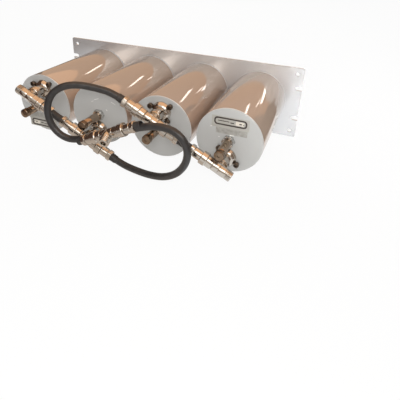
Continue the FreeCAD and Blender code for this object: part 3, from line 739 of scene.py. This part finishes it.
# Small pale marks that are painted glints, as (cavity, x, z, length, width, slope)
PAINTED_GLINTS = ((4, 3.5, 9.2, 7.0, 3.2, -0.2), (4, -27.0, 19.5, 5.5, 1.2, -0.45),
          (4, -15.5, 3.8, 1.8, 1.6, 0.3), (4, 22.0, 44.5, 3.2, 1.0, -0.4),
          (2, 27.0, 24.0, 8.0, 1.0, 0.45), (2, -4.0, 26.0, 9.0, 1.2, -0.35),
          (2, -12.0, 21.0, 5.0, 1.0, -0.5), (2, 14.0, 10.0, 3.0, 1.6, 0.9))


def rounded_box(width, height, corner, steps=8):
    """Corner points of a rounded rectangle round the origin, anticlockwise."""
    points = []
    for turn, (x, z) in enumerate(((1, 1), (-1, 1), (-1, -1), (1, -1))):
        for step in range(steps + 1):
            angle = math.pi / 2 * (turn + step / steps)
            points.append((x * (width / 2 - corner) + corner * math.cos(angle),
                           z * (height / 2 - corner) + corner * math.sin(angle)))
    return points


def add_plate(mesh, at, outline, bottom, top, hole=None):
    """A thin plate between two heights, with an optional hole of as many points."""
    rims = []
    for points in ([outline, hole] if hole else [outline]):
        rims.append([[mesh.verts.new(at @ Vector((x, -height, z))) for x, z in points]
                     for height in (bottom, top)])
    count = len(outline)
    for low, high in rims:
        for index in range(count):
            following = (index + 1) % count
            mesh.faces.new([low[index], low[following], high[following], high[index]])
    for level in (0, 1):
        if hole:
            outer, inner = rims[0][level], rims[1][level]
            for index in range(count):
                following = (index + 1) % count
                mesh.faces.new([outer[index], outer[following], inner[following], inner[index]])
        else:
            mesh.faces.new(rims[0][level])


def field(width, height, corner, x, z):
    """A rounded rectangle's corner points, with its middle at x and z."""
    return [(a + x, b + z) for a, b in rounded_box(width, height, corner)]


def build_label(number, x, z, half_turn, film, ink, grey, cream):
    """A pale film with a dark rounded frame, and a narrower strip below it."""
    centre = middle("cavity_%d_tube" % number)
    turn = Matrix.Rotation(math.pi if half_turn else 0, 4, "Y")
    at = Matrix.Translation(Vector((centre.x, front_face, centre.z))) @ turn @ Matrix.Scale(MM, 4)
    name = "cavity_%d_label" % number
    mesh = bmesh.new()
    add_plate(mesh, at, field(56, 18, 1, x + 0.5, z + 0.3), *FILM_LAYER)
    piece(name + "_film", mesh, film, "chassis")
    mesh = bmesh.new()
    outer = field(49, 12.4, 5.0, x + 0.6, z + 1.4)
    inner = field(44.4, 7.8, 3.2, x + 0.6, z + 1.4)
    add_plate(mesh, at, outer, *FRAME_LAYER, inner)
    for left, up, width, height in BARS:
        add_plate(mesh, at, field(width, height, 0.5, x + left, z + up), *BAR_LAYER)
    piece(name + "_frame", mesh, ink, "chassis")
    mesh = bmesh.new()
    add_plate(mesh, at, field(12.5, 6.4, 1.6, x + 14.5, z + 1.5), *PATCH_LAYER)
    piece(name + "_patch", mesh, cream, "chassis")
    mesh = bmesh.new()
    add_plate(mesh, at, field(47, 9.0, 0.8, x + 3, z - 13.4), *STRIP_LAYER)
    piece(name + "_strip", mesh, grey, "chassis")


def build_painted_glints(material):
    """Pale painted glints on the front plates. Each is a rounded box whose outline goes in and out
    unevenly.
    """
    mesh = bmesh.new()
    for number, x, z, length, width, slope in PAINTED_GLINTS:
        centre = middle("cavity_%d_tube" % number)
        at = Matrix.Translation(Vector((centre.x + x * MM, front_face, centre.z + z * MM)))
        at = at @ Matrix.Rotation(slope, 4, "Y") @ Matrix.Scale(MM, 4)
        points = [(a * (1 + 0.18 * math.sin(5 * index)), b * (1 + 0.25 * math.cos(7 * index)))
                  for index, (a, b) in enumerate(rounded_box(length, width, width * 0.4, 3))]
        add_plate(mesh, at, points, *GLINT_LAYER)
    piece("plate_painted_glints", mesh, material, "chassis")


# Studio: white floor and surroundings, soft lamps, and coloured cards that only reflections see

FLOOR_GAP = 0.0008  # between the object and the floor, in metres
FLOOR_SIDE = 40
FLOOR_GLOW = 0.93  # share of the floor's look that is plain white
AMBIENT_COLOR = (1.0, 0.97, 0.94)
AMBIENT_STRENGTH = 0.6
TARGET = (0, -0.12, 0)
floor_level = cad_box[0].z
# name, place, target, size in metres, power in watts, colour, spread in degrees
LAMPS = (
    ("key", (0.36, -0.9, 0.42), TARGET, 0.35, 3.7, (1, 0.985, 0.96), 180),
    ("side", (0.45, -1.0, 0.5), (0.40, 0, 0.12), 0.3, 0.42, (1, 1, 1), 26),
    ("fill", (-1.2, -0.9, 1.0), TARGET, 0.8, 1.1, (1, 0.93, 0.86), 180),
    ("back", (-0.5, 1.4, 0.9), TARGET, 0.8, 2.5, (1, 0.97, 0.94), 180),
)
# name, centre, normal, width, height, colour
CARDS = (
    ("wall_behind", (0, 9, 6.5), (0, -1, 0), 24, 13.0, (0.67, 0.43, 0.275)),
    ("wall_low", (0, 0.55, 0.03), (0, -1, 0), 5, 0.19, (0.22, 0.17, 0.135)),
    ("wall_front", (0, -6, 2.2), (0, 1, 0), 14, 4.6, (0.50, 0.43, 0.36)),
    ("ceiling", (0, 1, 7), (0, 0, -1), 16, 12, (1.25, 0.76, 0.44)),
    ("wall_left", (-0.42, -0.35, 0.2), (1, 0, 0), 0.8, 0.6, (0.10, 0.06, 0.045)),
    ("wall_right", (0.8, 0.0, 0.25), (-1, 0, 0), 1.8, 0.62, (0.28, 0.21, 0.165)),
    ("floor_right", (0.65, 0.1, floor_level), (0, 0, 1), 0.7, 1.2, (0.24, 0.18, 0.14)),
    ("floor_near", (-0.075, -0.26, floor_level), (0, 0, 1), 0.39, 0.2, (0.68, 0.6, 0.53)),
)
# name, left, right, colour: side by side on the floor in front of the object
FLOOR_CARDS = (
    ("floor_1", -1.2, -0.38, (0.16, 0.10, 0.08)),
    ("floor_2", -0.38, -0.22, (0.28, 0.21, 0.18)),
    ("floor_3", -0.22, -0.04, (0.46, 0.41, 0.38)),
    ("floor_4", -0.04, 0.10, (0.68, 0.65, 0.62)),
)
FLOOR_CARDS_Y = -0.62
FLOOR_CARDS_DEPTH = 0.56
# name, azimuth and rise of both ends, distance, width, strength
STRIPS = (
    ("strip_right", (10.5, 15.8), (23, 19.4), 6, 0.3, 4.2),
    ("strip_middle", (18, 21.3), (22.7, 24.6), 6, 0.12, 4.2),
    ("strip_left", (10.5, 32.4), (23, 37), 6, 0.3, 4.2),
    ("softbox", (122, 28), (178, 42), 5, 2.2, 3.4),
)
STRIP_COLOR = (1, 0.98, 0.95)


def mixed_by_ray(tree, plain, shown):
    """Mix two shaders: shown for rays from the camera or off glossy and clear surfaces, else plain."""
    path = tree.nodes.new("ShaderNodeLightPath")
    total = path.outputs["Is Camera Ray"]
    for ray in ("Is Glossy Ray", "Is Transmission Ray"):
        node = tree.nodes.new("ShaderNodeMath")
        node.operation = "MAXIMUM"
        tree.links.new(total, node.inputs[0])
        tree.links.new(path.outputs[ray], node.inputs[1])
        total = node.outputs[0]
    mix = tree.nodes.new("ShaderNodeMixShader")
    tree.links.new(total, mix.inputs["Fac"])
    tree.links.new(plain, mix.inputs[1])
    tree.links.new(shown, mix.inputs[2])
    return mix.outputs[0]


def build_world():
    world = bpy.data.worlds.new("studio")
    world.use_nodes = True
    bpy.context.scene.world = world
    tree = world.node_tree
    light = tree.nodes["Background"]
    light.inputs["Color"].default_value = (*AMBIENT_COLOR, 1)
    light.inputs["Strength"].default_value = AMBIENT_STRENGTH
    white = tree.nodes.new("ShaderNodeBackground")
    white.inputs["Color"].default_value = (1, 1, 1, 1)
    white.inputs["Strength"].default_value = 1.0
    shader = mixed_by_ray(tree, light.outputs[0], white.outputs[0])
    tree.links.new(shader, tree.nodes["World Output"].inputs["Surface"])


def stage_plane(name, centre, normal, width, height):
    bpy.ops.mesh.primitive_plane_add(size=1)
    plane = bpy.context.object
    plane.name = name
    plane.scale = (width, height, 1)
    plane.rotation_mode = "QUATERNION"
    plane.rotation_quaternion = Vector(normal).to_track_quat("Z", "Y")
    plane.location = centre
    return plane


def build_floor():
    """White floor: mostly the background's own white, with the object's soft shadow."""
    place = (0, 0, floor_level - FLOOR_GAP)
    floor = stage_plane("floor", place, (0, 0, 1), FLOOR_SIDE, FLOOR_SIDE)
    material = bpy.data.materials.new("floor_white")
    material.use_nodes = True
    tree = material.node_tree
    paper = tree.nodes.new("ShaderNodeBsdfDiffuse")
    paper.inputs["Color"].default_value = (0.9, 0.9, 0.9, 1)
    glow = tree.nodes.new("ShaderNodeEmission")
    blend = tree.nodes.new("ShaderNodeMixShader")
    blend.inputs["Fac"].default_value = FLOOR_GLOW
    tree.links.new(paper.outputs[0], blend.inputs[1])
    tree.links.new(glow.outputs[0], blend.inputs[2])
    shader = mixed_by_ray(tree, paper.outputs[0], blend.outputs[0])
    tree.links.new(shader, tree.nodes["Material Output"].inputs["Surface"])
    floor.data.materials.append(material)


def build_card(name, centre, normal, width, height, color, strength=1.0):
    """A wall or lamp that shows only in reflections."""
    card = stage_plane(name, centre, normal, width, height)
    for ray in ("camera", "diffuse", "transmission", "volume_scatter", "shadow"):
        setattr(card, "visible_" + ray, False)
    material = bpy.data.materials.new(name)
    material.use_nodes = True
    tree = material.node_tree
    glow = tree.nodes.new("ShaderNodeEmission")
    glow.inputs["Color"].default_value = (*color, 1)
    glow.inputs["Strength"].default_value = strength
    tree.links.new(glow.outputs[0], tree.nodes["Material Output"].inputs["Surface"])
    card.data.materials.append(material)
    return card


def build_lamp(name, place, target, size, power, color, spread):
    data = bpy.data.lights.new(name, "AREA")
    data.shape = "DISK"
    data.size = size
    data.energy = power
    data.color = color
    data.spread = math.radians(spread)
    lamp = bpy.data.objects.new(name, data)
    lamp.location = place
    lamp.visible_glossy = False
    lamp.rotation_mode = "QUATERNION"
    lamp.rotation_quaternion = (Vector(place) - Vector(target)).to_track_quat("Z", "Y")
    bpy.context.scene.collection.objects.link(lamp)


def toward(azimuth, rise, distance):
    """A place seen from the part at an azimuth from +Y towards +X and a rise, both in degrees."""
    turn, up = math.radians(azimuth), math.radians(rise)
    return Vector((math.cos(up) * math.sin(turn), math.cos(up) * math.cos(turn), math.sin(up))) * distance


def build_strip(name, first, last, distance, width, strength):
    """A bright card between two places, each given as (azimuth, rise), turned to the part."""
    start, end = toward(*first, distance), toward(*last, distance)
    centre = (start + end) / 2
    card = build_card(name, centre, -centre, (end - start).length, width, STRIP_COLOR, strength)
    across = (end - start).normalized()
    facing = -centre.normalized()
    turn = Matrix((across, facing.cross(across), facing)).transposed()
    card.rotation_quaternion = turn.to_quaternion()


def build_studio():
    bpy.context.scene.view_settings.view_transform = "Standard"
    build_world()
    build_floor()
    for lamp in LAMPS:
        build_lamp(*lamp)
    for card in CARDS:
        build_card(*card)
    for name, left, right, color in FLOOR_CARDS:
        place = ((left + right) / 2, FLOOR_CARDS_Y, floor_level)
        build_card(name, place, (0, 0, 1), right - left, FLOOR_CARDS_DEPTH, color)
    for strip in STRIPS:
        build_strip(*strip)


def dress():
    """Give the nodes that show as they are their finishes, and build pieces for the others."""
    tube, plate, panel = tube_finish(), plate_finish(), panel_finish()
    nickel, rod, steel = nickel_finish(), rod_finish(), nut_finish()
    screw, knob, copper = screw_finish(), knob_finish(), copper_finish()
    jacket, boot = jacket_finish(), boot_finish()
    film = print_finish("label_film", (0.43, 0.42, 0.385), (0.39, 0.38, 0.345))
    ink = print_finish("label_ink", (0.045, 0.032, 0.028), (0.03, 0.022, 0.02))
    grey = print_finish("label_grey", (0.27, 0.265, 0.245), (0.40, 0.39, 0.365))
    cream = print_finish("label_cream", (0.70, 0.67, 0.60), (0.62, 0.58, 0.50))
    # Pale marks on the front plates: painted glints, highlights painted into the colour
    glint_paint = print_finish("painted_glint_marks", (0.82, 0.82, 0.80), (0.72, 0.72, 0.70))
    kept = {"rack_panel": panel, "contact_fingers": copper, "rod_collets": nickel}
    for number in CAVITIES:
        for part, material in (("front_plate", plate), ("rear_plate", plate), ("resonator", copper),
                               ("plunger", copper), ("coupling_loop", copper)):
            kept["cavity_%d_%s" % (number, part)] = material
    for node, material in kept.items():
        for slot in frame["nodes"][node].material_slots:
            slot.material = material
    build_tubes(tube)
    build_rims(edge_highlight_finish())
    build_plugs(nickel)
    build_coupling_nuts(nickel)
    build_tees(nickel, insulator_finish())
    build_tuning_rods(rod, knob)
    build_lock_nuts(steel)
    build_loop_housings(nickel)
    build_screws(screw)
    boots = build_boots(boot)
    build_cable("cable_3_antenna", CABLE_3_ROUTE,
                jacket)
    build_cable("cable_2_antenna", CABLE_2_ROUTE,
                jacket)
    build_short_jumpers(boot)
    build_label(4, -0.5, 28.0, False, film, ink, grey, cream)
    build_label(1, 8.0, 38.0, True, film, ink, grey, cream)
    build_painted_glints(glint_paint)


dress()
add_camera()
build_studio()
